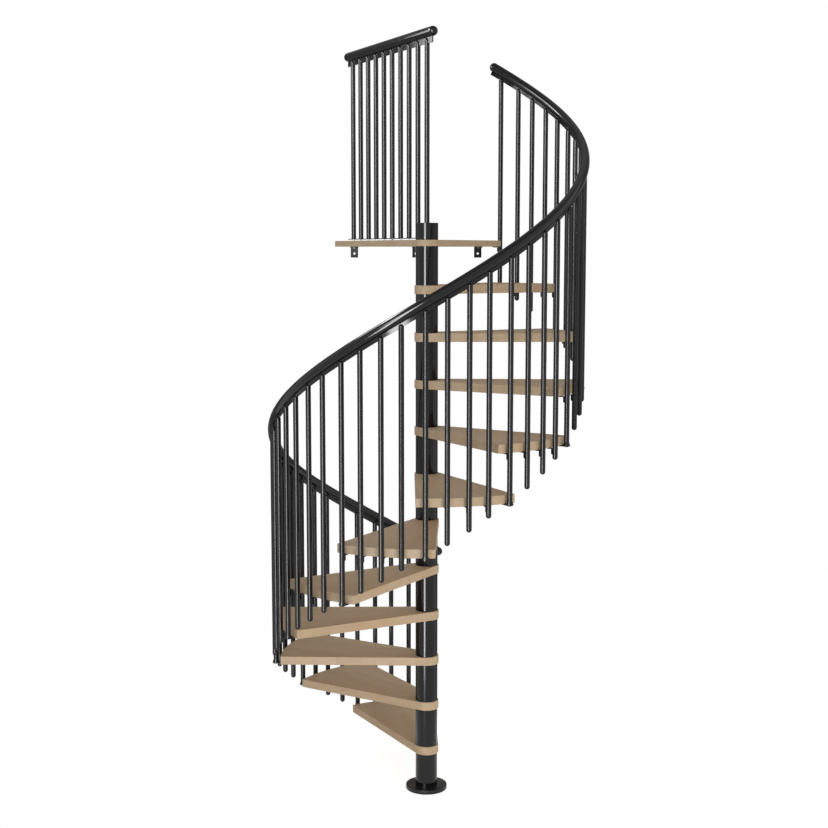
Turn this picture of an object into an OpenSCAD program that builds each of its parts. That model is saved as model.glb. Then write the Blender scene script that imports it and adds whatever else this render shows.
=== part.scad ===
// Spiral stair kit: timber treads threaded on a tubular column, hung balusters,
// a helical handrail over a steel strip, and a triangular landing with its own railing.
// Frame: origin on the floor at the column axis, +Z up, +Y from the column to the landing.
// The flight climbs counter-clockwise seen from above. Lengths are millimetres.

/* [Flight] */
// height from one tread top to the next
rise = 210; // [190:1:235]
// angle between the radial lines of one tread and the next
tread_angle = 29.9; // [26:0.1:31]
// radius of the circle the flight's balusters stand on
baluster_circle_radius = 688; // [640:1:760]

/* [Column] */
// radius of the round floor flange
flange_radius = 93.8; // [75:0.1:120]
// thickness of the floor flange
flange_thickness = 19.5; // [8:0.5:26]
// outer radius of the column tubes
tube_radius = 50; // [42:0.1:55]
// wall of the column tubes
tube_wall = 4; // [2:0.5:6]
// outer radius of the hidden pole that carries the stack
pole_radius = 30; // [20:0.5:34]
// wall of the hidden pole
pole_wall = 4; // [2:0.5:8]
// height of the column above the landing
column_head = 74; // [50:1:120]
// thickness of the plate that closes the column
cap_thickness = 6; // [4:0.5:10]

/* [Treads] */
// thickness of a tread
tread_thickness = 38.5; // [30:0.5:45]
// radius of the round inner end of treads and landing
hub_radius = 55.3; // [50:0.1:60]
// gap between the treads' curved outer edge and the balusters
tread_gap = 11.5; // [6:0.5:20]
// how far a tread's corner reaches past its radial line
edge_overlap = 41; // [30:0.5:60]
// how far the straight sides run in behind the round inner end
side_inset = 0.8; // [0.4:0.1:2]

/* [Balusters] */
// radius of every baluster
baluster_radius = 11.4; // [8:0.1:13]
// drop of the lower ends below the line through the tread corners
foot_drop = 35; // [20:0.5:40]
// height of the flared foot of the corner balusters
flare_height = 15; // [6:0.5:20]
// radius of the flared foot
flare_radius = 16.5; // [12:0.25:20]
// thickness of both leaves of the brackets
bracket_thickness = 3.5; // [2:0.25:5]
// depth of the brackets below the treads
bracket_height = 27; // [18:0.5:40]
// width of the brackets along the edge
bracket_width = 18; // [10:0.5:24]
// reach of the brackets in under the treads, from the balusters' axes
bracket_reach = 63; // [40:0.5:80]
// chamfer on the lower corners of the brackets
bracket_chamfer = 4; // [2:0.5:6]
// thickness of the plates under the corner balusters
eye_thickness = 3; // [2:0.5:8]
// radius of the plates under the corner balusters
eye_radius = 14.5; // [12:0.25:18]
// radius of the nut below a plate
nut_radius = 8.5; // [6:0.25:11]
// height of the nut below a plate
nut_height = 2.5; // [2:0.5:10]

/* [Handrail] */
// radius of the round handrails
rail_radius = 21.4; // [18:0.1:26]
// height of the flight's rail centre over the line through the tread corners
rail_height = 998; // [900:1:1100]
// how far the flight's rail runs on past its lowest baluster
rail_start_over = 60; // [45:1:90]
// how far the flight's rail runs on past its highest baluster
rail_end_over = 38; // [34:1:60]
// thickness of the flat strip under the rails
strip_thickness = 6; // [4:0.25:8]
// depth of the strip that shows below the flight's rail
strip_drop = 15.5; // [10:0.5:30]
// depth of the rail's groove over the strip
groove_depth = 8; // [5:0.25:10]

/* [Landing] */
// angle of the landing's railing to the left of straight back
landing_rail_angle = 26.9; // [24:0.1:30]
// thickness of the landing board
landing_thickness = 28.5; // [22:0.5:40]
// distance from the column axis to the straight back edge
landing_depth = 812; // [760:1:900]
// distance from the front corner to the flight's baluster circle
landing_corner_setback = 67; // [50:1:90]
// reach of the front corner past the right radial line
landing_corner_overlap = 40; // [30:0.5:48]
// distance from the straight right side to the flight's last baluster
landing_side_setback = 43; // [36:0.5:60]
// distance from the last baluster back to where the right side runs straight
landing_side_start = 30; // [10:1:60]
// distance from the last landing baluster to the landing's left back corner
landing_rail_setback = 112.5; // [80:0.5:140]
// height of the landing rail centre over the landing board
landing_rail_height = 893.5; // [850:0.5:1000]
// depth of the strip that shows below the landing's rail
landing_strip_drop = 26.5; // [14:0.5:34]
// how far the landing rail runs on past its end balusters
landing_rail_over = 57; // [40:1:80]
// width of the bar the landing's balusters stand on
foot_bar_width = 30; // [24:0.5:50]
// thickness of the bar the landing's balusters stand on
foot_bar_thickness = 4; // [3:0.25:8]
// how far the bar runs on past the last baluster
foot_bar_over = 39; // [20:1:80]
// height of the studs that hold the bar off the board
foot_stud_height = 6; // [3:0.25:12]
// radius of those studs
foot_stud_radius = 4; // [3:0.25:6]

/* [Angles] */
// width of the upright leaf of the fixing angles
angle_width = 37; // [26:0.5:44]
// width of the leaf under the landing
angle_leaf_width = 41; // [33:0.5:50]
// height of the upright leaf
angle_height = 54; // [40:0.5:70]
// thickness of both leaves
angle_thickness = 5; // [3:0.5:7]
// length of the leaf under the landing
angle_leaf = 60; // [40:1:80]
// spacing of the fixing angles along the back edge
angle_pitch = 307.6; // [250:0.1:320]
// position of the middle angle along the back edge
angle_middle = -68.4; // [-90:0.1:-40]
// radius of the fixing hole
angle_hole_radius = 5.5; // [4:0.25:7]
// height of the fixing hole over the lower edge of the leaf
angle_hole_height = 20; // [14:0.5:25]

/* [Fits] */
// gap left around parts that slide over each other
fit_gap = 0.25; // [0.15:0.05:0.5]
// gap of a baluster's slot on each side of the bent strip
slot_gap = 0.95; // [0.8:0.05:1.2]
// how far cutting shapes run past the faces they open
overrun = 2; // [1:0.5:4]

/* [Hidden] */
tread_count = 11;
per_tread = 4;
spacing_shares = [0, 0.2453, 0.4948, 0.7295];
landing_baluster_count = 10;
rail_sides = 20;
sweep_step = 4;
curve_facets = 96;
rod_facets = 48;
round_steps = 5;
round_span = 78;
tread_radius = baluster_circle_radius - baluster_radius - tread_gap;
tread_bore_radius = pole_radius + fit_gap;
landing_index = tread_count + 1;
landing_bottom = landing_index * rise - tread_thickness;
landing_top = landing_bottom + landing_thickness;
column_top = landing_top + column_head;
pitch_run = baluster_circle_radius * tread_angle * PI / 180;
rail_slope = atan(rise / pitch_run);
groove_half = strip_thickness / 2 + fit_gap;
groove_roof = groove_depth - rail_radius;
groove_mouth = groove_half * rail_radius / (rail_radius - groove_depth) + fit_gap;
strip_top = groove_roof - fit_gap;
strip_low = -rail_radius - strip_drop;
slot_half = strip_thickness / 2 + slot_gap;
tip_fall = baluster_radius / cos(rail_slope) - baluster_radius;
baluster_top = rail_height - (rail_radius + fit_gap) / cos(rail_slope) - tip_fall;
slot_fall = (baluster_radius + fit_gap) * tan(rail_slope);
slot_floor = rail_height + strip_low / cos(rail_slope) - slot_fall;
turn_per_length = 180 / (PI * baluster_circle_radius);
rail_from = step_turn(0) - rail_start_over * turn_per_length;
rail_to = step_turn(tread_count) + rail_end_over * turn_per_length;
last_x = baluster_circle_radius * sin(step_turn(tread_count));
last_y = -baluster_circle_radius * cos(step_turn(tread_count));
landing_left = 90 + landing_rail_angle;
landing_left_run = (landing_depth - hub_radius * cos(landing_left)) / sin(landing_left);
landing_last = landing_left_run - landing_rail_setback;
landing_baluster_pitch = landing_last / (landing_baluster_count - 1);
landing_rail_z = landing_top + landing_rail_height;
landing_strip_low = landing_rail_z - rail_radius - landing_strip_drop;
landing_strip_top = landing_rail_z + strip_top;
landing_rod_top = landing_rail_z - rail_radius - fit_gap;
foot_bar_low = landing_top + foot_stud_height;
bracket_outer = baluster_circle_radius - baluster_radius;

// turn from the front to a numbered tread corner; the landing's middle is at the back
function step_turn(step) = 180 + (step - landing_index) * tread_angle;

// height of the line through the tread corners at a turn
function line_height(turn) = rise * (landing_index + (turn - 180) / tread_angle);

// point of a section square to the helical rail, out from the axis and up across the slope
function rail_point(turn, out, up) =
  let (radius = baluster_circle_radius + out)
  let (back = up * sin(rail_slope))
  [radius * sin(turn) - back * cos(turn),
    -radius * cos(turn) - back * sin(turn),
    line_height(turn) + rail_height + up * cos(rail_slope)];

// turn of the baluster with a running number counted from the floor
function rod_turn(index) =
  let (step = floor(index / per_tread))
  step_turn(step + spacing_shares[index - step * per_tread]);

// lower end of that baluster
function rod_foot(index) =
  let (plain = rise * index / per_tread)
  let (corner = index % per_tread == 0)
  max(0, corner ? plain - tread_thickness : plain - foot_drop);

// points of a closed profile swept along the helix
function sweep_points(turns, profile) =
  [for (turn = turns) for (q = profile) rail_point(turn, q[0], q[1])];

// faces between neighbouring rings of a sweep, then fans that close both ends
function sweep_faces(rings, size) = concat(
  [for (i = [0 : rings - 2]) for (j = [0 : size - 1])
    [i * size + j, (i + 1) * size + j, (i + 1) * size + (j + 1) % size]],
  [for (i = [0 : rings - 2]) for (j = [0 : size - 1])
    [i * size + j, (i + 1) * size + (j + 1) % size, i * size + (j + 1) % size]],
  [for (j = [0 : size - 1]) [rings * size, j, (j + 1) % size]],
  [for (j = [0 : size - 1])
    [rings * size + 1, (rings - 1) * size + (j + 1) % size, (rings - 1) * size + j]]);

// evenly spread turns, both ends included
function turn_list(from, to) =
  let (count = ceil((to - from) / sweep_step))
  [for (i = [0 : count]) from + (to - from) * i / count];

module sweep(turns, profile, heart) {
  rings = len(turns);
  ends = [rail_point(turns[0], 0, heart), rail_point(turns[rings - 1], 0, heart)];
  polyhedron(points = concat(sweep_points(turns, profile), ends), faces = sweep_faces(rings, len(profile)));
}

// rail section with the tapered groove that clips over the strip
function rail_profile() =
  let (lip = asin(groove_mouth / rail_radius))
  concat(
    [for (i = [0 : rail_sides])
      let (a = -90 + lip + (360 - 2 * lip) * i / rail_sides)
      [rail_radius * cos(a), rail_radius * sin(a)]],
    [[-groove_half, groove_roof], [groove_half, groove_roof]]);

function strip_profile() = [
  [-strip_thickness / 2, strip_low], [strip_thickness / 2, strip_low],
  [strip_thickness / 2, strip_top], [-strip_thickness / 2, strip_top]];

// outlines of a post's rounded top and of its rounded, flared and plain feet, from below up
function round_top(top) =
  [for (i = [0 : round_steps])
    let (a = round_span * i / round_steps)
    [baluster_radius * cos(a), top - baluster_radius * (1 - sin(a))]];
function round_foot(foot) =
  [for (i = [round_steps : -1 : 0])
    let (a = round_span * i / round_steps)
    [baluster_radius * cos(a), foot + baluster_radius * (1 - sin(a))]];
function flared_foot(foot) = [[flare_radius, foot], [baluster_radius, foot + flare_height]];
function plain_foot(foot) = [[baluster_radius, foot]];

// post turned in one piece, standing at the origin of its own frame
module rod(foot_outline, top) {
  outline = concat(foot_outline, round_top(top));
  rotate_extrude($fn = rod_facets)
    polygon(concat([[0, outline[0][1]]], outline, [[0, outline[len(outline) - 1][1]]]));
}

// flight baluster: a post whose top is slotted over the strip
module flight_rod(index) {
  turn = rod_turn(index);
  line = line_height(turn);
  corner = index % per_tread == 0;
  rotate([0, 0, turn - 90])
    translate([baluster_circle_radius, 0, 0])
      difference() {
        rod(corner ? flared_foot(rod_foot(index)) : round_foot(rod_foot(index)), line + baluster_top);
        translate([-slot_half, -baluster_radius - overrun, line + slot_floor])
          cube([2 * slot_half, 2 * (baluster_radius + overrun), rail_height]);
      }
}

// outline prism of a tread: hub, straight sides tangent to it, curved outer edge
module tread_body() {
  corner = tread_angle / 2 + asin(edge_overlap / tread_radius);
  waist = hub_radius - side_inset;
  touch = corner + acos(waist / tread_radius);
  side = waist * tan(acos(waist / tread_radius)) + tread_radius;
  far = [waist * cos(touch) + side * sin(touch), waist * sin(touch) - side * cos(touch)];
  near = [waist * cos(touch), waist * sin(touch)];
  difference() {
    union() {
      cylinder(r = hub_radius, h = tread_thickness, $fn = curve_facets);
      intersection() {
        rotate([0, 0, 180])
          cylinder(r = tread_radius, h = tread_thickness, $fn = curve_facets);
        linear_extrude(height = tread_thickness)
          polygon([near, [near[0], -near[1]], [far[0], -far[1]], far]);
      }
    }
    translate([0, 0, -overrun])
      cylinder(r = tread_bore_radius, h = tread_thickness + 2 * overrun, $fn = curve_facets);
  }
}

module tread(number) {
  color("burlywood")
    rotate([0, 0, step_turn(number - 0.5) - 90])
      translate([0, 0, number * rise - tread_thickness])
        tread_body();
}

// column

module base_flange() {
  color("black")
    cylinder(r = flange_radius, h = flange_thickness, $fn = curve_facets);
}

module centre_pole() {
  color("dimgray")
    difference() {
      translate([0, 0, flange_thickness])
        cylinder(r = pole_radius, h = column_top - cap_thickness - flange_thickness, $fn = curve_facets);
      translate([0, 0, flange_thickness - overrun])
        cylinder(r = pole_radius - pole_wall, h = column_top, $fn = curve_facets);
    }
}

module spacer(low, high) {
  difference() {
    translate([0, 0, low])
      cylinder(r = tube_radius, h = high - low, $fn = curve_facets);
    translate([0, 0, low - overrun])
      cylinder(r = tube_radius - tube_wall, h = high - low + 2 * overrun, $fn = curve_facets);
  }
}

module column_spacers() {
  color("black") {
    spacer(flange_thickness, rise - tread_thickness);
    for (i = [1 : tread_count])
      spacer(i * rise, (i + 1) * rise - tread_thickness);
  }
}

module column_head_tube() {
  color("black")
    difference() {
      translate([0, 0, landing_top])
        cylinder(r = tube_radius, h = column_head, $fn = curve_facets);
      translate([0, 0, landing_top - overrun])
        cylinder(r = tube_radius - tube_wall, h = column_head - cap_thickness + overrun, $fn = curve_facets);
    }
}

// balusters: three along each tread and one at its upper corner

module balusters(number) {
  start = (number - 1) * per_tread;
  color("black") {
    for (i = [1 : per_tread])
      flight_rod(start + i);
    if (number == 1)
      flight_rod(start);
  }
}

// bent bracket: one leaf under a board's edge, one against a passing baluster
module side_bracket(turn, board_bottom) {
  half = bracket_width / 2;
  rotate([0, 0, turn - 90])
    translate([0, 0, board_bottom])
      union() {
        translate([baluster_circle_radius - bracket_reach, -half, -bracket_thickness])
          cube([bracket_reach - baluster_radius, bracket_width, bracket_thickness]);
        translate([bracket_outer - bracket_thickness, 0, 0])
          rotate([90, 0, 90])
            linear_extrude(height = bracket_thickness)
              polygon([
                [-half, 0],
                [-half, bracket_chamfer - bracket_height],
                [bracket_chamfer - half, -bracket_height],
                [half - bracket_chamfer, -bracket_height],
                [half, bracket_chamfer - bracket_height],
                [half, 0]]);
      }
}

// plate under a tread's upper corner, with the nut of the corner baluster
module eye_plate(turn, board_bottom) {
  rotate([0, 0, turn - 90])
    translate([0, 0, board_bottom - eye_thickness])
      union() {
        translate([baluster_circle_radius, 0, 0])
          cylinder(r = eye_radius, h = eye_thickness, $fn = rod_facets);
        translate([baluster_circle_radius - bracket_reach, -eye_radius, 0])
          cube([bracket_reach, 2 * eye_radius, eye_thickness]);
        translate([baluster_circle_radius, 0, -nut_height])
          cylinder(r = nut_radius, h = nut_height + eye_thickness / 2, $fn = rod_facets);
      }
}

module brackets(number) {
  start = (number - 1) * per_tread;
  bottom = number * rise - tread_thickness;
  color("black") {
    for (i = [0 : per_tread - 1])
      side_bracket(rod_turn(start + i), bottom);
    eye_plate(rod_turn(start + per_tread), bottom);
  }
}

module landing_bracket() {
  color("black")
    side_bracket(step_turn(tread_count), landing_bottom);
}

// handrail of the flight

module spiral_handrail() {
  color("black")
    sweep(turn_list(rail_from, rail_to), rail_profile(), 0);
}

module spiral_strip() {
  color("black")
    sweep(turn_list(rail_from, rail_to), strip_profile(), (strip_low + strip_top) / 2);
}

// half ball that closes a rail, bulging towards -X of its own frame
module rail_end() {
  difference() {
    sphere(r = rail_radius, $fn = curve_facets);
    translate([0, -rail_radius - overrun, -rail_radius - overrun])
      cube(2 * (rail_radius + overrun));
  }
}

module spiral_rail_ends() {
  color("black") {
    translate(rail_point(rail_from, 0, 0))
      rotate([0, -rail_slope, rail_from])
        rail_end();
    translate(rail_point(rail_to, 0, 0))
      rotate([0, -rail_slope, rail_to])
        rotate([0, 0, 180])
          rail_end();
  }
}

// landing

// turns a frame whose +X runs out below the landing's rail
module along_left() {
  rotate([0, 0, landing_left])
    children();
}

module landing_board() {
  right = step_turn(tread_count) - 90;
  left_corner = [landing_left_run * cos(landing_left) - hub_radius * sin(landing_left), landing_depth];
  waist = hub_radius - side_inset;
  left_side = [-waist * sin(landing_left), waist * cos(landing_left)];
  corner_reach = baluster_circle_radius - landing_corner_setback;
  front_corner = [corner_reach * cos(right) + landing_corner_overlap * sin(right),
    corner_reach * sin(right) - landing_corner_overlap * cos(right)];
  front_touch = atan2(front_corner[1], front_corner[0]) - acos(waist / norm(front_corner));
  front_side = [waist * cos(front_touch), waist * sin(front_touch)];
  right_x = last_x - landing_side_setback;
  color("burlywood")
    translate([0, 0, landing_bottom])
      difference() {
        union() {
          cylinder(r = hub_radius, h = landing_thickness, $fn = curve_facets);
          linear_extrude(height = landing_thickness)
            polygon([front_side, front_corner, [right_x, last_y + landing_side_start],
              [right_x, landing_depth], left_corner, left_side]);
        }
        translate([0, 0, -overrun])
          cylinder(r = tread_bore_radius, h = landing_thickness + 2 * overrun, $fn = curve_facets);
      }
}

module landing_balusters() {
  color("black")
    along_left()
      for (i = [0 : landing_baluster_count - 1])
        translate([i * landing_baluster_pitch, 0, 0])
          difference() {
            rod(plain_foot(i == 0 ? column_top : foot_bar_low + foot_bar_thickness), landing_rod_top);
            translate([-baluster_radius - overrun, -groove_half, landing_strip_low])
              cube([2 * (baluster_radius + overrun), 2 * groove_half, landing_rail_height]);
          }
}

module landing_foot_bar() {
  start = tube_radius + fit_gap;
  color("black")
    along_left()
      translate([start, -foot_bar_width / 2, foot_bar_low])
        cube([landing_last + foot_bar_over - start, foot_bar_width, foot_bar_thickness]);
}

// short studs that carry the bar, one below each baluster
module landing_foot_studs() {
  color("silver")
    along_left()
      for (i = [1 : landing_baluster_count - 1])
        translate([i * landing_baluster_pitch, 0, landing_top])
          cylinder(r = foot_stud_radius, h = foot_stud_height, $fn = rod_facets);
}

module landing_handrail() {
  run = landing_last + 2 * landing_rail_over;
  depth = rail_radius - groove_depth;
  mouth = groove_half * rail_radius / depth + fit_gap;
  color("black")
    along_left()
      translate([-landing_rail_over, 0, landing_rail_z])
        rotate([90, 0, 90])
          difference() {
            cylinder(r = rail_radius, h = run, $fn = curve_facets);
            translate([0, 0, -overrun])
              linear_extrude(height = run + 2 * overrun)
                polygon([[-groove_half, -depth], [-mouth, -rail_radius - overrun],
                  [mouth, -rail_radius - overrun], [groove_half, -depth]]);
          }
}

module landing_strip() {
  color("black")
    along_left()
      translate([-landing_rail_over, -strip_thickness / 2, landing_strip_low])
        cube([landing_last + 2 * landing_rail_over, strip_thickness, landing_strip_top - landing_strip_low]);
}

module landing_rail_ends() {
  color("black")
    along_left() {
      translate([-landing_rail_over, 0, landing_rail_z])
        rail_end();
      translate([landing_last + landing_rail_over, 0, landing_rail_z])
        rotate([0, 0, 180])
          rail_end();
    }
}

module angle_piece() {
  difference() {
    union() {
      translate([-angle_width / 2, -angle_thickness, -angle_height])
        cube([angle_width, angle_thickness, angle_height]);
      translate([-angle_width / 2, -angle_leaf, -angle_thickness])
        cube([angle_leaf_width, angle_leaf, angle_thickness]);
    }
    translate([0, overrun, angle_hole_height - angle_height])
      rotate([90, 0, 0])
        cylinder(r = angle_hole_radius, h = angle_thickness + 2 * overrun, $fn = rod_facets);
  }
}

module landing_angles() {
  color("black")
    for (i = [-1 : 1])
      translate([angle_middle + i * angle_pitch, landing_depth, landing_bottom])
        angle_piece();
}

base_flange();
centre_pole();
column_spacers();
column_head_tube();
tread(1);  // tread_01
tread(2);  // tread_02
tread(3);  // tread_03
tread(4);  // tread_04
tread(5);  // tread_05
tread(6);  // tread_06
tread(7);  // tread_07
tread(8);  // tread_08
tread(9);  // tread_09
tread(10);  // tread_10
tread(11);  // tread_11
landing_board();
balusters(1);  // balusters_01
balusters(2);  // balusters_02
balusters(3);  // balusters_03
balusters(4);  // balusters_04
balusters(5);  // balusters_05
balusters(6);  // balusters_06
balusters(7);  // balusters_07
balusters(8);  // balusters_08
balusters(9);  // balusters_09
balusters(10);  // balusters_10
balusters(11);  // balusters_11
brackets(1);  // brackets_01
brackets(2);  // brackets_02
brackets(3);  // brackets_03
brackets(4);  // brackets_04
brackets(5);  // brackets_05
brackets(6);  // brackets_06
brackets(7);  // brackets_07
brackets(8);  // brackets_08
brackets(9);  // brackets_09
brackets(10);  // brackets_10
brackets(11);  // brackets_11
landing_bracket();
spiral_handrail();
spiral_strip();
spiral_rail_ends();
landing_balusters();
landing_foot_bar();
landing_foot_studs();
landing_handrail();
landing_strip();
landing_rail_ends();
landing_angles();
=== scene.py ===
"""Looks of a spiral staircase: beech treads on a black column, hung balusters and two black rails.

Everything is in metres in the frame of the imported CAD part: origin on the floor at the column
axis, +Z up, +Y from the column to the landing. Sizes that a maker would read off a drawing are
written in millimetres and turned to metres by mm().
"""
import logging
import math
from dataclasses import dataclass, field
from enum import Enum
from typing import Any, Callable, Iterable, Sequence

import bmesh
import bpy
from mathutils import Matrix, Vector


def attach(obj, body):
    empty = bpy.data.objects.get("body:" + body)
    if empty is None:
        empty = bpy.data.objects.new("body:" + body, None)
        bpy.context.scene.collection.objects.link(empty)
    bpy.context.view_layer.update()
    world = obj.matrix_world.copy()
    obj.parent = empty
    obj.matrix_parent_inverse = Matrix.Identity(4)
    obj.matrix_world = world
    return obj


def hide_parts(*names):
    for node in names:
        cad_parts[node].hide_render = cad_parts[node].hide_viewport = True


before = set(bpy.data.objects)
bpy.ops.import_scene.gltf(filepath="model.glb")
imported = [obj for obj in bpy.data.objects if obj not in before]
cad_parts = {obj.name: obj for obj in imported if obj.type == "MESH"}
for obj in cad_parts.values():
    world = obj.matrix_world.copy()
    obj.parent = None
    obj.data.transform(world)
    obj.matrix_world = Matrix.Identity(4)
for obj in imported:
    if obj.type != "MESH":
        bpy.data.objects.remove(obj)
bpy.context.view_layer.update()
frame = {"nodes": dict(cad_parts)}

LOG = logging.getLogger("spiral_stair")
BODY = "root"
TREAD_COUNT = 11

Point = tuple[float, float]
Links = dict[str | int, Any]


def numbered(stem: str) -> list[str]:
    """Names the nodes that repeat once for each tread."""
    return [f"{stem}_{number:02d}" for number in range(1, TREAD_COUNT + 1)]


class Slot(Enum):
    """Names of material slots in the record."""

    BLACK_STEEL = "black_steel"
    BLACK_RAIL = "black_rail"
    ZINC = "zinc_steel"


class Finish(Enum):
    """Finishes that several sub-assemblies share."""

    STEEL = "coated steel"
    PLATE = "coated thick plate"
    TUBE = "coated thin tube"
    PLASTIC = "extruded plastic"
    ZINC = "plated steel"
    PRIMER = "primed steel"


def mm(length: float) -> float:
    """Turns millimetres to metres.

    Args:
        length: a length in millimetres.

    Returns:
        The same length in metres.
    """
    return length / 1000.0


def linear(colour: str) -> tuple[float, float, float, float]:
    """Turns an sRGB hex colour to linear light.

    Args:
        colour: six hex digits, with or without a leading mark.

    Returns:
        Linear red, green and blue with an alpha of one.
    """
    digits = colour.lstrip("#")
    shares = [int(digits[i:i + 2], 16) / 255.0 for i in (0, 2, 4)]
    light = [s / 12.92 if s <= 0.04045 else ((s + 0.055) / 1.055) ** 2.4 for s in shares]
    return light[0], light[1], light[2], 1.0


def add_node(tree: bpy.types.NodeTree, kind: str, settings: Links | None = None,
             links: Links | None = None) -> bpy.types.Node:
    """Adds one node, sets its values and joins its inputs.

    Args:
        tree: the node tree that gets the node.
        kind: the node's type name.
        settings: attributes of the node, or input values keyed by a socket's name or number.
        links: output sockets keyed by the name or number of the input that each one feeds.

    Returns:
        The new node.
    """
    node = tree.nodes.new(kind)
    for key, value in (settings or {}).items():
        if isinstance(key, int) or key in node.inputs:
            node.inputs[key].default_value = value
        else:
            setattr(node, key, value)
    for key, socket in (links or {}).items():
        tree.links.new(socket, node.inputs[key])
    return node


def new_material(name: str) -> tuple[bpy.types.Material, bpy.types.NodeTree]:
    """Makes an empty node material.

    Args:
        name: the finish's name.

    Returns:
        The material and its cleared node tree.
    """
    material = bpy.data.materials.new(name)
    material.use_nodes = True
    material.node_tree.nodes.clear()
    return material, material.node_tree


@dataclass(frozen=True)
class Mark:
    """Range of a noise that shows as a darker mark in the wood, and how dark the mark gets."""

    low: float
    high: float
    share: float

    def values(self) -> Links:
        """Gives the settings of the node that turns the noise to the mark."""
        return {"From Min": self.low, "From Max": self.high, "To Max": self.share}


@dataclass(frozen=True)
class BeechBoard:
    """Beech staves, glued side by side and end to end, sanded and clear lacquered.

    The eye gets long blocks of slightly different honey tones with square butt ends, soft
    streaks along the grain, short darker flecks and a low satin sheen.
    """

    number: int
    turn: float
    stave_width: float = mm(43.0)
    stave_length: float = mm(330.0)
    # One stave is centred on the board's middle line, and each board is cut from another place.
    middle_stave: float = 0.5
    board_shift: float = 7.0
    # Rows of staves are shifted along the board by up to this many lengths.
    row_shift: float = 3.0
    # Metres by which a stave's grain is taken from another place than its neighbour's.
    grain_shift: float = 3.0
    # Real glue lines are about 0.2 mm; they are drawn wider so that the render can show them.
    glue_line: float = mm(1.2)
    glue_share: float = 0.24
    fibre_width: float = mm(2.6)
    fibre_length: float = mm(85.0)
    band_width: float = mm(13.0)
    band_length: float = mm(340.0)
    # Beech flecks are about 3 mm by 0.4 mm; they are drawn coarser so that the render shows them.
    fleck_width: float = mm(1.6)
    fleck_length: float = mm(11.0)
    grain_roughness: float = 0.55
    streaks: Mark = Mark(0.42, 0.75, 0.16)
    bands: Mark = Mark(0.4, 0.75, 0.13)
    flecks: Mark = Mark(0.66, 0.78, 0.28)
    pale: str = "#D5BC9B"
    honey: str = "#D2B896"
    honey_place: float = 0.45
    deep: str = "#CFB390"
    shade: str = "#9C7A54"
    roughness: tuple[float, float] = (0.53, 0.66)
    relief: float = mm(0.4)
    relief_share: float = 0.12
    ior: float = 1.5
    # 0.5 is all the reflection that the IOR gives; a thin sanded lacquer gives less.
    gloss: float = 0.3

    def material(self) -> bpy.types.Material:
        """Builds the board's material, with the staves along the board.

        Returns:
            The finished material.
        """
        material, tree = new_material(f"Beech staves glued and lacquered {self.number:02d}")
        place = add_node(tree, "ShaderNodeTexCoord")
        board = add_node(tree, "ShaderNodeMapping",
                         {"vector_type": "POINT", "Rotation": (0.0, 0.0, -self.turn)},
                         {"Vector": place.outputs["Object"]})
        axes = add_node(tree, "ShaderNodeSeparateXYZ", links={0: board.outputs[0]})
        across = self._steps(tree, axes.outputs["Y"], self.stave_width,
                             self.middle_stave + self.board_shift * self.number)
        row = add_node(tree, "ShaderNodeTexWhiteNoise", {"noise_dimensions": "1D"},
                       {"W": across[0].outputs[0]})
        slid = add_node(tree, "ShaderNodeMath",
                        {"operation": "MULTIPLY_ADD", 1: self.stave_length * self.row_shift},
                        {0: row.outputs["Value"], 2: axes.outputs["X"]})
        along = self._steps(tree, slid.outputs[0], self.stave_length, 0.0)
        cell = add_node(tree, "ShaderNodeCombineXYZ", {"Z": float(self.number)},
                        {"X": across[0].outputs[0], "Y": along[0].outputs[0]})
        stave = add_node(tree, "ShaderNodeTexWhiteNoise", {"noise_dimensions": "3D"},
                         {"Vector": cell.outputs[0]})
        tone = add_node(tree, "ShaderNodeValToRGB", links={0: stave.outputs["Value"]})
        ramp = tone.color_ramp.elements
        ramp[0].color, ramp[1].color = linear(self.deep), linear(self.pale)
        ramp.new(self.honey_place).color = linear(self.honey)
        shifted = add_node(tree, "ShaderNodeVectorMath",
                           {"operation": "MULTIPLY_ADD", 1: (self.grain_shift,) * 3},
                           {0: stave.outputs["Color"], 2: board.outputs[0]})
        grain = shifted.outputs[0]
        fibres = self._grain(tree, grain, self.fibre_length, self.fibre_width, 3.0)
        bands = self._grain(tree, grain, self.band_length, self.band_width, 1.0)
        flecks = self._grain(tree, grain, self.fleck_length, self.fleck_width, 0.0)
        fleck, streak, band = (
            add_node(tree, "ShaderNodeMapRange", mark.values(), {"Value": noise.outputs["Fac"]})
            for mark, noise in ((self.flecks, flecks), (self.streaks, fibres), (self.bands, bands)))
        lines = [self._seam(tree, across[1], self.stave_width),
                 self._seam(tree, along[1], self.stave_length)]
        dark = add_node(tree, "ShaderNodeMath", {"operation": "ADD"},
                        {0: streak.outputs[0], 1: band.outputs[0]})
        for mark in (fleck, *lines):
            dark = add_node(tree, "ShaderNodeMath", {"operation": "MAXIMUM"},
                            {0: dark.outputs[0], 1: mark.outputs[0]})
        colour = add_node(tree, "ShaderNodeMix", {"data_type": "RGBA", 7: linear(self.shade)},
                          {0: dark.outputs[0], 6: tone.outputs[0]})
        rough = add_node(tree, "ShaderNodeMapRange",
                         {"To Min": self.roughness[0], "To Max": self.roughness[1]},
                         {"Value": fibres.outputs["Fac"]})
        bump = add_node(tree, "ShaderNodeBump",
                        {"Strength": self.relief_share, "Distance": self.relief},
                        {"Height": fibres.outputs["Fac"]})
        skin = add_node(tree, "ShaderNodeBsdfPrincipled",
                        {"IOR": self.ior, "Specular IOR Level": self.gloss},
                        {"Base Color": colour.outputs[2], "Roughness": rough.outputs[0],
                         "Normal": bump.outputs[0]})
        add_node(tree, "ShaderNodeOutputMaterial", links={"Surface": skin.outputs[0]})
        return material

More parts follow.
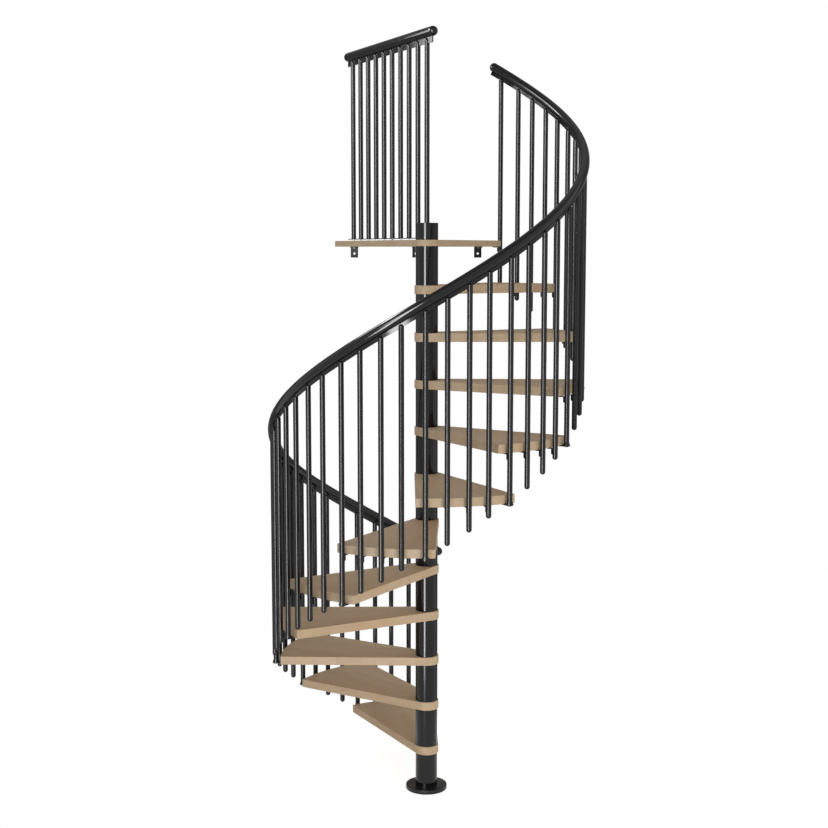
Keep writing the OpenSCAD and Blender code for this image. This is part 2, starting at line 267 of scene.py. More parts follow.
    @staticmethod
    def _steps(tree: bpy.types.NodeTree, socket: bpy.types.NodeSocket, size: float,
               start: float) -> tuple[bpy.types.Node, bpy.types.Node]:
        """Counts blocks of one size along an axis.

        Args:
            tree: the material's tree.
            socket: the coordinate in metres.
            size: the block's length in metres.
            start: blocks added before counting.

        Returns:
            The node that gives the block's number and the one that gives the place inside it.
        """
        scaled = add_node(tree, "ShaderNodeMath",
                          {"operation": "MULTIPLY_ADD", 1: 1.0 / size, 2: start}, {0: socket})
        whole = add_node(tree, "ShaderNodeMath", {"operation": "FLOOR"}, {0: scaled.outputs[0]})
        inside = add_node(tree, "ShaderNodeMath", {"operation": "FRACT"}, {0: scaled.outputs[0]})
        return whole, inside

    def _grain(self, tree: bpy.types.NodeTree, socket: bpy.types.NodeSocket, length: float,
               width: float, detail: float) -> bpy.types.Node:
        """Adds noise stretched along the board.

        Args:
            tree: the material's tree.
            socket: the board's coordinates in metres.
            length: size of a streak along the grain in metres.
            width: size of a streak across the grain in metres.
            detail: octaves of finer noise.

        Returns:
            The noise node.
        """
        stretch = (1.0 / length, 1.0 / width, 1.0 / width)
        stretched = add_node(tree, "ShaderNodeVectorMath",
                             {"operation": "MULTIPLY", 1: stretch}, {0: socket})
        return add_node(tree, "ShaderNodeTexNoise",
                        {"Scale": 1.0, "Detail": detail, "Roughness": self.grain_roughness},
                        {"Vector": stretched.outputs[0]})

    def _seam(self, tree: bpy.types.NodeTree, inside: bpy.types.Node,
              size: float) -> bpy.types.Node:
        """Marks the glue line at a block's edge.

        Args:
            tree: the material's tree.
            inside: the node that gives the place inside a block.
            size: the block's length in metres.

        Returns:
            A node that gives the darkening of the line.
        """
        return add_node(tree, "ShaderNodeMapRange",
                        Mark(self.glue_line / size, 0.0, self.glue_share).values(),
                        {"Value": inside.outputs[0]})


@dataclass(frozen=True)
class BlackCoat:
    """Black coating: powder baked on steel, gloss or satin, or the skin of extruded plastic.

    The eye gets a deep neutral black. Gloss gives crisp highlights that waver slightly over the
    coat's fine orange peel, and satin gives softer and wider ones.
    """

    name: str
    colour: str
    roughness: float
    ior: float
    # 0.5 is all the reflection that the IOR gives; a black pigmented coat gives less.
    gloss: float = 0.38
    # Orange peel is about 1 mm across; it is drawn coarser so that it shows on the widest parts.
    peel_size: float = mm(3.0)
    peel_depth: float = mm(0.002)
    peel_share: float = 0.25
    # Handling leaves slightly duller patches of about a palm's width.
    haze_size: float = mm(50.0)
    haze_range: tuple[float, float] = (0.35, 0.7)
    haze_gain: tuple[float, float] = (0.85, 1.3)

    def material(self) -> bpy.types.Material:
        """Builds the coat's material.

        Returns:
            The finished material.
        """
        material, tree = new_material(self.name)
        place = add_node(tree, "ShaderNodeTexCoord")
        sized = add_node(tree, "ShaderNodeVectorMath",
                         {"operation": "MULTIPLY", 1: (1.0 / self.peel_size,) * 3},
                         {0: place.outputs["Object"]})
        peel = add_node(tree, "ShaderNodeTexNoise", {"Scale": 1.0, "Detail": 1.0},
                        {"Vector": sized.outputs[0]})
        haze = add_node(tree, "ShaderNodeTexNoise",
                        {"Scale": self.peel_size / self.haze_size, "Detail": 4.0},
                        {"Vector": sized.outputs[0]})
        rough = add_node(tree, "ShaderNodeMapRange",
                         {"From Min": self.haze_range[0], "From Max": self.haze_range[1],
                          "To Min": self.roughness * self.haze_gain[0],
                          "To Max": self.roughness * self.haze_gain[1]},
                         {"Value": haze.outputs["Fac"]})
        bump = add_node(tree, "ShaderNodeBump",
                        {"Strength": self.peel_share, "Distance": self.peel_depth},
                        {"Height": peel.outputs["Fac"]})
        skin = add_node(tree, "ShaderNodeBsdfPrincipled",
                        {"Base Color": linear(self.colour), "IOR": self.ior,
                         "Specular IOR Level": self.gloss},
                        {"Roughness": rough.outputs[0], "Normal": bump.outputs[0]})
        add_node(tree, "ShaderNodeOutputMaterial", links={"Surface": skin.outputs[0]})
        return material


@dataclass(frozen=True)
class PlatedSteel:
    """Zinc-plated or plain primed steel.

    The eye gets an even grey with a fine crystalline unevenness, bright on zinc and dull on primer.
    """

    name: str
    pale: str
    deep: str
    roughness: float
    metallic: float
    # The crystals of a plated coat are far finer; they are drawn coarser so that they can show.
    crystal: float = mm(2.0)

    def material(self) -> bpy.types.Material:
        """Builds the plate's material.

        Returns:
            The finished material.
        """
        material, tree = new_material(self.name)
        place = add_node(tree, "ShaderNodeTexCoord")
        sized = add_node(tree, "ShaderNodeVectorMath",
                         {"operation": "MULTIPLY", 1: (1.0 / self.crystal,) * 3},
                         {0: place.outputs["Object"]})
        grain = add_node(tree, "ShaderNodeTexNoise", {"Scale": 1.0, "Detail": 3.0},
                         {"Vector": sized.outputs[0]})
        colour = add_node(tree, "ShaderNodeMix",
                          {"data_type": "RGBA", 6: linear(self.deep), 7: linear(self.pale)},
                          {0: grain.outputs["Fac"]})
        skin = add_node(tree, "ShaderNodeBsdfPrincipled",
                        {"Metallic": self.metallic, "Roughness": self.roughness},
                        {"Base Color": colour.outputs[2]})
        add_node(tree, "ShaderNodeOutputMaterial", links={"Surface": skin.outputs[0]})
        return material


@dataclass
class Softener:
    """Rounds the edges of CAD nodes with modifiers and leaves their meshes alone."""

    sharp_angle: float = math.radians(32.0)
    merge: float = mm(0.01)
    flat_angle: float = math.radians(0.4)
    groups: dict[str, bpy.types.NodeTree] = field(default_factory=dict)

    def soften(self, node: bpy.types.Object, width: float, segments: int = 3) -> None:
        """Adds the modifiers that weld, clean, round and smooth a node.

        Args:
            node: the CAD node's object.
            width: radius of the rounded edges in metres.
            segments: steps across a rounded edge.
        """
        self._add_group(node, "weld", self._weld_group)
        clean = node.modifiers.new("flat_faces", "DECIMATE")
        clean.decimate_type = "DISSOLVE"
        clean.angle_limit = self.flat_angle
        edge = node.modifiers.new("round_edges", "BEVEL")
        edge.width = width
        edge.segments = segments
        edge.limit_method = "ANGLE"
        edge.angle_limit = self.sharp_angle
        edge.miter_outer = "MITER_ARC"
        self._add_group(node, "smooth", self._smooth_group)
        flat = node.modifiers.new("flat_shading", "WEIGHTED_NORMAL")
        flat.keep_sharp = True

    def _add_group(self, node: bpy.types.Object, name: str,
                   build: Callable[[], bpy.types.NodeTree]) -> None:
        """Adds a node-group modifier, building the group once.

        Args:
            node: the object that gets the modifier.
            name: the group's short name.
            build: the function that builds the group.
        """
        if name not in self.groups:
            self.groups[name] = build()
        node.modifiers.new(name, "NODES").node_group = self.groups[name]

    @staticmethod
    def _start_group(name: str) -> tuple[bpy.types.NodeTree, bpy.types.Node]:
        """Starts a geometry group with one way in and one way out.

        Args:
            name: the group's name.

        Returns:
            The tree and its input node.
        """
        tree = bpy.data.node_groups.new(name, "GeometryNodeTree")
        for way in ("INPUT", "OUTPUT"):
            tree.interface.new_socket("Geometry", in_out=way, socket_type="NodeSocketGeometry")
        return tree, add_node(tree, "NodeGroupInput")

    def _weld_group(self) -> bpy.types.NodeTree:
        """Builds the group that drops stored normals and joins split vertices.

        Returns:
            The finished group.
        """
        tree, start = self._start_group("weld_points")
        bare = add_node(tree, "GeometryNodeRemoveAttribute", {"Name": "custom_normal"},
                        {0: start.outputs[0]})
        joined = add_node(tree, "GeometryNodeMergeByDistance", {"Distance": self.merge},
                          {0: bare.outputs[0]})
        add_node(tree, "NodeGroupOutput", links={0: joined.outputs[0]})
        return tree

    def _smooth_group(self) -> bpy.types.NodeTree:
        """Builds the group that shades smooth except over sharp edges.

        Returns:
            The finished group.
        """
        tree, start = self._start_group("smooth_by_angle")
        angle = add_node(tree, "GeometryNodeInputMeshEdgeAngle")
        sharp = add_node(tree, "FunctionNodeCompare",
                         {"operation": "GREATER_THAN", 1: self.sharp_angle}, {0: angle.outputs[0]})
        faces = add_node(tree, "GeometryNodeSetShadeSmooth",
                         {"domain": "FACE", "Shade Smooth": True}, {0: start.outputs[0]})
        edges = add_node(tree, "GeometryNodeSetShadeSmooth",
                         {"domain": "EDGE", "Shade Smooth": False},
                         {0: faces.outputs[0], "Selection": sharp.outputs[0]})
        add_node(tree, "NodeGroupOutput", links={0: edges.outputs[0]})
        return tree


@dataclass
class Workshop:
    """The CAD nodes, the shared finishes and the softener that every sub-assembly works with."""

    nodes: dict[str, bpy.types.Object]
    finishes: dict[Finish, bpy.types.Material]
    softener: Softener

    def dress(self, name: str, material: bpy.types.Material, edge: float = 0.0,
              steps: int = 2) -> None:
        """Gives one CAD node its finish and rounds its edges.

        Args:
            name: the node's name.
            material: the finish.
            edge: radius of the rounded edges in metres, or zero to leave them.
            steps: steps across a rounded edge.
        """
        node = self.nodes[name]
        for slot in node.material_slots:
            slot.link = "OBJECT"
            slot.material = material
        if edge > 0.0:
            self.softener.soften(node, edge, steps)
        LOG.info("node %s: %s", name, material.name)

    def coat(self, names: Iterable[str], finish: Finish, edge: float = 0.0) -> None:
        """Gives several CAD nodes one shared finish.

        Args:
            names: the nodes' names.
            finish: the shared finish.
            edge: radius of the rounded edges in metres, or zero to leave them.
        """
        for name in names:
            self.dress(name, self.finishes[finish], edge)

    def add(self, mesh: bpy.types.Mesh, finish: Finish, slot: Slot,
            stands_for: Iterable[str] = ()) -> None:
        """Puts a new piece on the stair.

        Args:
            mesh: its mesh in the part's frame, which also names the piece.
            finish: the shared finish that it gets.
            slot: the record's slot that the finish belongs to; not used.
            stands_for: CAD nodes that the piece replaces.
        """
        piece = bpy.data.objects.new(mesh.name, mesh)
        bpy.context.scene.collection.objects.link(piece)
        mesh.materials.append(self.finishes[finish])
        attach(piece, BODY)
        nodes = tuple(stands_for)
        if nodes:
            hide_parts(*nodes)
        LOG.info("piece %s: %d faces", mesh.name, len(mesh.polygons))


def mesh_from(name: str, points: Sequence[Sequence[float]], faces: Sequence[Sequence[int]],
              sharp: float = math.radians(35.0)) -> bpy.types.Mesh:
    """Makes a mesh that is smooth except over sharp edges.

    Args:
        name: the mesh's name.
        points: its vertices in metres.
        faces: its faces as vertex numbers.
        sharp: angle over which an edge stays sharp.

    Returns:
        The new mesh.
    """
    mesh = bpy.data.meshes.new(name)
    mesh.from_pydata([tuple(p) for p in points], [], [tuple(f) for f in faces])
    shape = bmesh.new()
    shape.from_mesh(mesh)
    bmesh.ops.recalc_face_normals(shape, faces=shape.faces)
    for face in shape.faces:
        face.smooth = True
    for edge in shape.edges:
        edge.smooth = len(edge.link_faces) == 2 and edge.calc_face_angle() < sharp
    shape.to_mesh(mesh)
    shape.free()
    return mesh


@dataclass
class Helix:
    """The stair's winding: where its tread corners and balusters stand."""

    rise: float = mm(210.0)
    tread_angle: float = math.radians(29.9)
    landing_index: int = TREAD_COUNT + 1
    circle: float = mm(688.0)
    # Places of a tread's balusters from its lower corner, as shares of the tread's angle.
    shares: tuple[float, ...] = (0.0, 0.2453, 0.4948, 0.7295)

    def turn_at(self, step: float) -> float:
        """Gives the turn from the front to a tread corner, which may be a fraction."""
        return math.pi + (step - self.landing_index) * self.tread_angle

    def height_at(self, turn: float) -> float:
        """Gives the height of the line through the tread corners."""
        return self.rise * (self.landing_index + (turn - math.pi) / self.tread_angle)

    def slope(self) -> float:
        """Gives the angle of the balusters' line over the floor."""
        return math.atan2(self.rise, self.circle * self.tread_angle)


@dataclass
class Column:
    """Stack of coated tubes on a round floor flange, clamped by a hidden pole."""

    flange_edge: float = mm(2.5)
    flange_steps: int = 4
    head_edge: float = mm(0.8)

    def build(self, shop: Workshop) -> None:
        """Dresses the flange, the tubes and the pole inside them.

        Args:
            shop: nodes and finishes.
        """
        plate = shop.finishes[Finish.PLATE]
        shop.dress("base_flange", plate, self.flange_edge, self.flange_steps)
        shop.coat(["column_spacers"], Finish.STEEL)
        shop.coat(["column_head_tube"], Finish.STEEL, self.head_edge)
        shop.coat(["centre_pole"], Finish.PRIMER)


@dataclass
class Treads:
    """Winder treads of glued beech staves, threaded on the column by their rounded hubs."""

    helix: Helix
    edge: float = mm(3.0)
    edge_steps: int = 3

    def build(self, shop: Workshop) -> None:
        """Dresses each tread with staves that run along its own middle line.

        Args:
            shop: nodes and finishes.
        """
        for number, name in enumerate(numbered("tread"), start=1):
            turn = self.helix.turn_at(number - 0.5) - math.pi / 2
            shop.dress(name, BeechBoard(number, turn).material(), self.edge, self.edge_steps)


@dataclass
class Balusters:
    """Coated round posts hung from the rail's strip, and brackets that hold the treads to them."""

    edge: float = mm(0.6)

    def build(self, shop: Workshop) -> None:
        """Dresses the posts and their brackets.

        Args:
            shop: nodes and finishes.
        """
        shop.coat(numbered("balusters"), Finish.TUBE)
        shop.coat(numbered("brackets"), Finish.STEEL, self.edge)


@dataclass
class SpiralRail:
    """The flight's round handrail, bent to a helix over its flat steel strip."""

    helix: Helix
    first_over: float = mm(60.0)
    last_over: float = mm(38.0)
    height: float = mm(998.0)
    # The skin stays a hair inside the solid's corners, so that it keeps to the part's box.
    radius: float = mm(20.97)
    groove_half: float = mm(3.25)
    groove_depth: float = mm(8.0)
    strip_half: float = mm(3.0)
    strip_top: float = mm(-13.65)
    strip_low: float = mm(-36.8)
    edge: float = mm(0.7)
    sides: int = 44
    step: float = math.radians(1.2)
    cap_edge: float = mm(0.6)

    def build(self, shop: Workshop) -> None:
        """Builds the rail and its strip and dresses the rail's ends.

        Args:
            shop: nodes and finishes.
        """
        rail = self._sweep("spiral_rail_skin", self._rail_outline())
        strip = self._sweep("spiral_strip_skin", self._strip_outline())
        shop.add(rail, Finish.PLASTIC, Slot.BLACK_RAIL, ["spiral_handrail"])
        shop.add(strip, Finish.STEEL, Slot.BLACK_STEEL, ["spiral_strip"])
        shop.coat(["spiral_rail_ends"], Finish.PLASTIC, self.cap_edge)

    def point(self, turn: float, out: float, up: float) -> Vector:
        """Gives a point of a section square to the rail.

        Args:
            turn: turn from the front about the column.
            out: distance outwards from the rail's axis.
            up: distance up across the slope from the rail's axis.

        Returns:
            The point in the part's frame.
        """
        line = self.helix.height_at(turn)
        back = up * math.sin(self.helix.slope())
        reach = self.helix.circle + out
        return Vector((reach * math.sin(turn) - back * math.cos(turn),
                       -reach * math.cos(turn) - back * math.sin(turn),
                       line + self.height + up * math.cos(self.helix.slope())))

    def _rail_outline(self) -> list[Point]:
        """Draws the round section with the groove over the strip.

        Returns:
            The section's points, outwards and up across the slope.
        """
        lip = math.asin(self.groove_half / self.radius)
        count = self.sides
        arc = [-math.pi / 2 + lip + (2 * math.pi - 2 * lip) * i / count for i in range(count + 1)]
        ring = [(self.radius * math.cos(a), self.radius * math.sin(a)) for a in arc]
        roof = self.groove_depth - self.radius
        return ring + [(-self.groove_half, roof), (self.groove_half, roof)]

    def _strip_outline(self) -> list[Point]:
        """Draws the flat section with its lower edges eased.

        Returns:
            The section's points, outwards and up across the slope.
        """
        half, low, ease = self.strip_half, self.strip_low, self.edge
        return [(-half, low + ease), (ease - half, low), (half - ease, low), (half, low + ease),
                (half, self.strip_top), (-half, self.strip_top)]

    def _sweep(self, name: str, outline: list[Point]) -> bpy.types.Mesh:
        """Sweeps a closed section along the rail.

        Args:
            name: the mesh's name.
            outline: the section's points, outwards and up across the slope.

        Returns:
            The swept mesh with closed ends.
        """
        start = self.helix.turn_at(0.0) - self.first_over / self.helix.circle
        end = self.helix.turn_at(TREAD_COUNT) + self.last_over / self.helix.circle
        count = math.ceil((end - start) / self.step)
        points = [self.point(start + (end - start) * i / count, out, up)
                  for i in range(count + 1) for out, up in outline]
        size = len(outline)
        faces = []
        for low in range(0, count * size, size):
            high = low + size
            faces += [[low + j, high + j, high + (j + 1) % size, low + (j + 1) % size]
                      for j in range(size)]
        faces += [list(range(size)), list(range(count * size, (count + 1) * size))]
        return mesh_from(name, points, faces)


@dataclass
class Landing:
    """Triangular beech board with a straight railing, a foot bar on studs and fixing angles."""

    board_edge: float = mm(3.0)
    board_steps: int = 3
    steel_edge: float = mm(0.8)
    rail_edge: float = mm(0.6)
    staves: float = math.pi / 2

    def build(self, shop: Workshop) -> None:
        """Dresses the board, the railing and the fixings.

        Args:
            shop: nodes and finishes.
        """
        board = BeechBoard(TREAD_COUNT + 1, self.staves)
        shop.dress("landing_board", board.material(), self.board_edge, self.board_steps)
        shop.coat(["landing_balusters"], Finish.TUBE)
        shop.coat(["landing_foot_bar", "landing_strip", "landing_bracket", "landing_angles"],
                  Finish.STEEL, self.steel_edge)
        shop.coat(["landing_foot_studs"], Finish.ZINC)
        shop.coat(["landing_handrail", "landing_rail_ends"], Finish.PLASTIC, self.rail_edge)


@dataclass
class Screws:
    """Pan-head wood screws with a cross recess, driven up into the boards."""

    helix: Helix
    head_radius: float = mm(4.25)
    head_height: float = mm(2.6)
    recess_reach: float = mm(1.9)
    recess_half: float = mm(0.55)
    recess_depth: float = mm(1.5)
    recess_taper: float = 0.7
    # The head's outline from its seat to its top, as shares of its radius and height.
    dome: tuple[Point, ...] = ((1.0, 0.0), (1.0, 0.27), (0.93, 0.6), (0.76, 0.86), (0.58, 0.97))
    sides: int = 24
    driver_turn: float = 2.4
    tread_thickness: float = mm(38.5)
    leaf: float = mm(3.5)
    eye_plate: float = mm(3.0)
    # Distances in from the balusters' circle to the two screws of a bracket.
    setbacks: tuple[float, float] = (mm(32.0), mm(51.0))
    landing_bottom: float = mm(2481.5)
    angle_leaf: float = mm(5.0)
    angle_places: tuple[float, ...] = (mm(-374.0), mm(-66.4), mm(241.2))
    angle_rows: tuple[float, float] = (mm(788.0), mm(766.0))

    def build(self, shop: Workshop) -> None:
        """Builds the flight's screws and the landing's.

        Args:
            shop: nodes and finishes.
        """
        for name, places in (("tread_screws", self._flight()), ("landing_screws", self._landing())):
            shop.add(self._heads(name, places), Finish.ZINC, Slot.ZINC)

    def _at(self, turn: float, under: float) -> list[Vector]:
        """Places the screws of one bracket.

        Args:
            turn: the bracket's turn from the front.
            under: height of the leaf's underside.

        Returns:
            The middles of the heads, on the leaf.
        """
        outward = Vector((math.sin(turn), -math.cos(turn), 0.0))
        return [outward * (self.helix.circle - setback) + Vector((0.0, 0.0, under))
                for setback in self.setbacks]

    def _flight(self) -> list[Vector]:
        """Places the screws under the treads.

        Returns:
            The middles of the heads.
        """
        places: list[Vector] = []
        for number in range(1, TREAD_COUNT + 1):
            under = number * self.helix.rise - self.tread_thickness
            for share in self.helix.shares:
                places += self._at(self.helix.turn_at(number - 1 + share), under - self.leaf)
            places += self._at(self.helix.turn_at(number), under - self.eye_plate)
        return places

    def _landing(self) -> list[Vector]:
        """Places the screws under the landing.

        Returns:
            The middles of the heads.
        """
        under = self.landing_bottom - self.angle_leaf
        places = [Vector((x, y, under)) for x in self.angle_places for y in self.angle_rows]
        return places + self._at(self.helix.turn_at(TREAD_COUNT), self.landing_bottom - self.leaf)

    def _cross(self, angle: float) -> float:
        """Gives the recess's reach in one direction from the head's middle.

        Args:
            angle: the direction.

        Returns:
            The distance to the cross's outline.
        """
        least = 1e-6
        along = max(abs(math.cos(angle)), least)
        aside = max(abs(math.sin(angle)), least)
        return max(min(self.recess_reach / along, self.recess_half / aside),
                   min(self.recess_half / along, self.recess_reach / aside))

    def _rings(self) -> list[list[tuple[float, float, float]]]:
        """Draws one head from its seat over the dome down into the recess.

        Returns:
            Rings of points, with the head hanging down from the origin.
        """
        high, wide = self.head_height, self.head_radius
        spots = [math.tau * i / self.sides for i in range(self.sides)]
        rings = [[(wide * share * math.cos(a), wide * share * math.sin(a), -high * down)
                  for a in spots] for share, down in self.dome]
        for shrink, deep in ((1.0, high), (self.recess_taper, high - self.recess_depth)):
            reaches = [shrink * self._cross(a) for a in spots]
            rings.append([(reach * math.cos(a), reach * math.sin(a), -deep)
                          for reach, a in zip(reaches, spots)])
        return rings

    def _heads(self, name: str, places: list[Vector]) -> bpy.types.Mesh:
        """Repeats the head at each place, each one turned differently as a driver leaves it.

        Args:
            name: the mesh's name.
            places: middles of the heads.

        Returns:
            One mesh with all the heads.
        """
        rings, size = self._rings(), self.sides
        points: list[Vector] = []
        faces: list[list[int]] = []
        for index, place in enumerate(places):
            base, turn = len(points), Matrix.Rotation(self.driver_turn * index, 3, "Z")
            points += [place + turn @ Vector(point) for ring in rings for point in ring]
            for i in range(len(rings) - 1):
                low, high = base + i * size, base + (i + 1) * size
                faces += [[low + j, low + (j + 1) % size, high + (j + 1) % size, high + j]
                          for j in range(size)]
            last = len(points) - size
            faces += [list(range(base, base + size)), list(range(last, last + size))]
        return mesh_from(name, points, faces)


class Lamp(Enum):
    """The two jobs that a studio shares out among its lamps."""

    LIGHTS = "lights matt surfaces"
    SHINES = "shows as a reflection"


@dataclass(frozen=True)
class Softbox:
    """One upright softbox around the stair, or a strip that shows only as a reflection.

    Its turn is to the left of the front, its span gives the heights of its lower and upper edge,
    and its radiance is how bright the box itself looks, where one is white.
    """

    name: str
    job: Lamp
    turn: float
    span: tuple[float, float]
    width: float
    radiance: float
    distance: float = 6.0

    def stand(self) -> None:
        """Stands the lamp at its turn to the left of the front and faces it to the column."""
        height = self.span[1] - self.span[0]
        lamp = bpy.data.lights.new(self.name, "AREA")
        lamp.shape = "RECTANGLE"
        lamp.size, lamp.size_y = self.width, height
        lamp.energy = self.radiance * math.pi * self.width * height
        box = bpy.data.objects.new(self.name, lamp)
        outward = Vector((-math.sin(self.turn), -math.cos(self.turn), 0.0))
        box.location = outward * self.distance + Vector((0.0, 0.0, sum(self.span) / 2))
        box.rotation_euler = (-outward).to_track_quat("-Z", "Y").to_euler()
        box.visible_camera = False
        box.visible_diffuse = self.job is Lamp.LIGHTS
        box.visible_glossy = self.job is Lamp.SHINES
        bpy.context.scene.collection.objects.link(box)


@dataclass
class Studio:
    """Plain soft studio: white surroundings, a pale floor, softboxes and the camera."""

    eye: Vector = field(default_factory=lambda: Vector((0.10952, -6.30596, 2.46518)))
    gaze: Vector = field(default_factory=lambda: Vector((-0.02623, 0.99303, -0.11493)))
    image: float = 828.0
    focal_pixels: float = 1417.49
    sensor: float = 36.0
    floor_radius: float = 1.5
    floor_sides: int = 96
    floor_drop: float = mm(0.5)
    # The floor fades out between these shares of its radius.
    floor_fade: tuple[float, float] = (0.45, 0.97)
    floor_colour: str = "#F4F4F4"
    floor_glow: float = 0.72
    sky: float = 0.53
    # The key lights the wood. The tall strips draw the light line on column and rods, and those
    # higher up and near the left side draw the streaks on the rails.
    lamps: tuple[Softbox, ...] = (
        Softbox("key_softbox", Lamp.LIGHTS, math.radians(-22.0), (-1.3, 2.6), 1.47, 6.2),
        Softbox("wide_strip", Lamp.SHINES, math.radians(18.5), (-1.3, 2.9), 1.47, 9.0),
        Softbox("tall_strip", Lamp.SHINES, math.radians(18.5), (-1.15, 4.4), 1.3, 23.5),
        Softbox("upper_strip", Lamp.SHINES, math.radians(31.0), (3.3, 4.6), 1.6, 18.0),
        Softbox("side_panel", Lamp.SHINES, math.radians(104.8), (3.32, 3.85), 1.5, 5.0, 1.76),
        Softbox("side_strip", Lamp.SHINES, math.radians(104.8), (3.85, 4.3), 1.4, 20.0, 1.76))
    flag_middle: float = 0.8
    flag_distance: float = 30.0
    flag_colour: str = "#B4B4B4"
    flag_angles: tuple[float, float] = (math.radians(17.0), math.radians(66.0))
    flag_sides: int = 64
    roof_height: float = 25.0
    roof_radius: float = 22.0

    def build(self) -> None:
        """Makes the surroundings, the lamps and the camera."""
        self._surroundings()
        self._floor()
        self._flags()
        for lamp in self.lamps:
            lamp.stand()
        self._camera()

    def _surroundings(self) -> None:
        """Lights the scene evenly and shows white to the eye, to gloss and to glass."""
        world = bpy.data.worlds.new("white_studio")
        bpy.context.scene.world = world
        world.use_nodes = True
        tree = world.node_tree
        tree.nodes.clear()
        seen = self._seen(tree)
        strength = add_node(tree, "ShaderNodeMapRange", {"To Min": self.sky, "To Max": 1.0},
                            {"Value": seen.outputs[0]})
        light = add_node(tree, "ShaderNodeBackground", {"Color": (1.0, 1.0, 1.0, 1.0)},
                         {"Strength": strength.outputs[0]})
        add_node(tree, "ShaderNodeOutputWorld", links={"Surface": light.outputs[0]})

    @staticmethod
    def _seen(tree: bpy.types.NodeTree) -> bpy.types.Node:
        """Adds a node that gives one for the rays by which eye, gloss and glass see the white.

        Args:
            tree: the tree of the world or of the floor's material.

        Returns:
            The node that gives one or zero.
        """
        rays = add_node(tree, "ShaderNodeLightPath")
        seen = add_node(tree, "ShaderNodeMath", {"operation": "MAXIMUM"},
                        {0: rays.outputs["Is Camera Ray"], 1: rays.outputs["Is Glossy Ray"]})
        return add_node(tree, "ShaderNodeMath", {"operation": "MAXIMUM"},
                        {0: seen.outputs[0], 1: rays.outputs["Is Transmission Ray"]})

    def _floor(self) -> None:
        """Lays a round pale floor that fades out into the white surroundings."""
        shape = bmesh.new()
        bmesh.ops.create_circle(shape, cap_ends=True, segments=self.floor_sides,
                                radius=self.floor_radius)
        mesh = bpy.data.meshes.new("studio_floor")
        shape.to_mesh(mesh)
        shape.free()
        floor = bpy.data.objects.new("studio_floor", mesh)
        floor.location.z = -self.floor_drop
        bpy.context.scene.collection.objects.link(floor)
        material, tree = new_material("Pale painted floor")
        place = add_node(tree, "ShaderNodeTexCoord")
        reach = add_node(tree, "ShaderNodeVectorMath", {"operation": "LENGTH"},
                         {0: place.outputs["Object"]})
        fade = add_node(tree, "ShaderNodeMapRange",
                        {"From Min": self.floor_radius * self.floor_fade[0],
                         "From Max": self.floor_radius * self.floor_fade[1],
                         "interpolation_type": "SMOOTHSTEP"},
                        {"Value": reach.outputs["Value"]})
        seen = self._seen(tree)
        glow = add_node(tree, "ShaderNodeMapRange", {"To Max": self.floor_glow},
                        {"Value": seen.outputs[0]})
        white = add_node(tree, "ShaderNodeEmission", links={"Strength": glow.outputs[0]})
        paint = add_node(tree, "ShaderNodeBsdfDiffuse", {"Color": linear(self.floor_colour)})
        lit = add_node(tree, "ShaderNodeAddShader",
                       links={0: paint.outputs[0], 1: white.outputs[0]})
        clear = add_node(tree, "ShaderNodeBsdfTransparent")
        both = add_node(tree, "ShaderNodeMixShader",
                        links={0: fade.outputs[0], 1: lit.outputs[0], 2: clear.outputs[0]})
        add_node(tree, "ShaderNodeOutputMaterial", links={"Surface": both.outputs[0]})
        mesh.materials.append(material)

    def _flags(self) -> None:
        """Stands grey cloth far out around the backdrop and hangs a paler one far above.

        Gloss shows them as darker edges and darker upper sides.
        """
        turns = [math.tau * i / self.flag_sides for i in range(self.flag_sides)]
        wall = bmesh.new()
        reaches = [self.flag_distance * math.tan(edge) for edge in self.flag_angles]
        rings = [[wall.verts.new((math.cos(a) * reach, self.flag_distance,
                                  math.sin(a) * reach + self.flag_middle)) for a in turns]
                 for reach in reaches]
        for i in range(self.flag_sides):
            j = (i + 1) % self.flag_sides
            wall.faces.new((rings[0][i], rings[1][i], rings[1][j], rings[0][j]))
        self._hang("grey_flags", wall, "Grey studio cloth", self.flag_colour)
        roof, wide = bmesh.new(), self.roof_radius
        roof.faces.new([roof.verts.new((math.cos(a) * wide, math.sin(a) * wide, self.roof_height))
                        for a in turns])
        self._hang("pale_roof", roof, "Pale studio cloth", self.floor_colour)

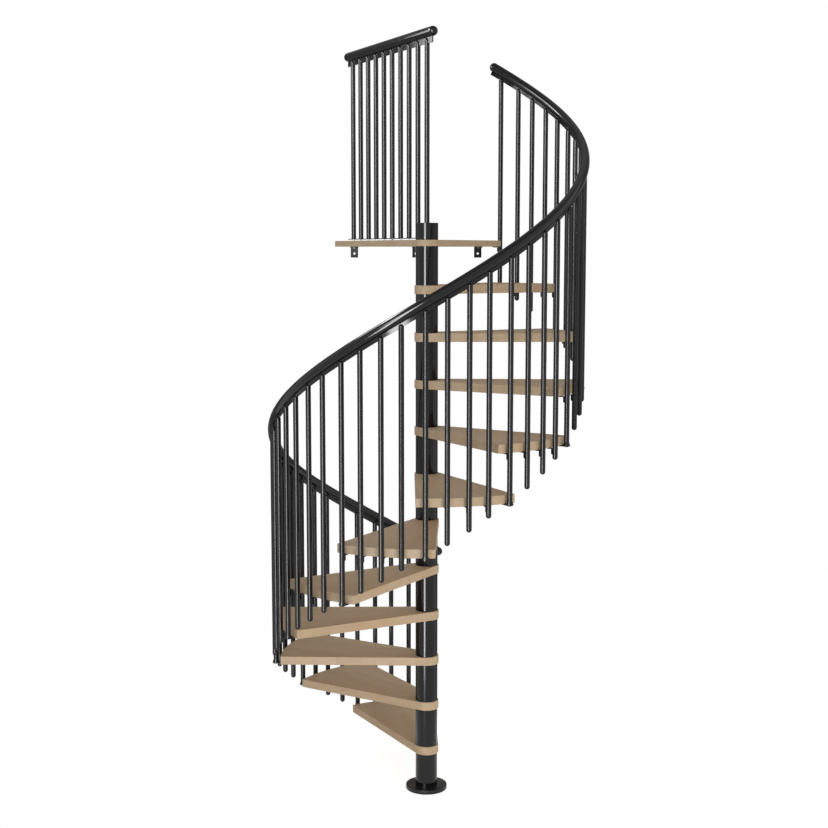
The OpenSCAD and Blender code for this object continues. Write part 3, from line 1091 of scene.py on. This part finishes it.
    @staticmethod
    def _hang(name: str, shape: bmesh.types.BMesh, finish: str, colour: str) -> None:
        """Hangs a cloth that only gloss can see.

        Args:
            name: the cloth's name.
            shape: its shape, which is used up.
            finish: its material's name.
            colour: its colour.
        """
        mesh = bpy.data.meshes.new(name)
        shape.to_mesh(mesh)
        shape.free()
        cloth = bpy.data.objects.new(name, mesh)
        bpy.context.scene.collection.objects.link(cloth)
        material, tree = new_material(finish)
        weave = add_node(tree, "ShaderNodeBsdfDiffuse", {"Color": linear(colour)})
        add_node(tree, "ShaderNodeOutputMaterial", links={"Surface": weave.outputs[0]})
        mesh.materials.append(material)
        cloth.visible_camera = cloth.visible_diffuse = cloth.visible_shadow = False

    def _camera(self) -> None:
        """Sets the camera where the photograph was taken from."""
        data = bpy.data.cameras.new("photo_view")
        data.sensor_width = self.sensor
        data.lens = self.focal_pixels / self.image * self.sensor
        camera = bpy.data.objects.new("photo_view", data)
        camera.location = self.eye
        camera.rotation_euler = self.gaze.to_track_quat("-Z", "Y").to_euler()
        bpy.context.scene.collection.objects.link(camera)
        bpy.context.scene.camera = camera


def main() -> None:
    """Builds and dresses the stair, one sub-assembly after another."""
    logging.basicConfig(level=logging.INFO, format="%(name)s: %(message)s")
    bpy.context.scene.view_settings.view_transform = "Standard"
    finishes = {
        Finish.STEEL: BlackCoat("Black gloss powder coat on steel", "#0B0B0C", 0.12, 1.45),
        Finish.PLATE: BlackCoat("Black satin powder coat on plate", "#0B0B0C", 0.38, 1.45),
        Finish.TUBE: BlackCoat("Black satin powder coat on tube", "#0B0B0C", 0.22, 1.45),
        Finish.PLASTIC: BlackCoat("Black extruded plastic", "#0C0C0D", 0.12, 1.46),
        Finish.ZINC: PlatedSteel("Zinc-plated steel", "#D8DADC", "#B4B8BC", 0.3, 1.0),
        Finish.PRIMER: PlatedSteel("Grey primed steel", "#6A6C6E", "#585A5C", 0.6, 0.0),
    }
    materials = {finish: recipe.material() for finish, recipe in finishes.items()}
    shop = Workshop(frame["nodes"], materials, Softener())
    helix = Helix()
    assemblies = (Column(), Treads(helix), Balusters(), SpiralRail(helix), Landing(), Screws(helix))
    for assembly in assemblies:
        LOG.info("sub-assembly %s", type(assembly).__name__)
        assembly.build(shop)
    Studio().build()


if __name__ == "__main__":
    main()
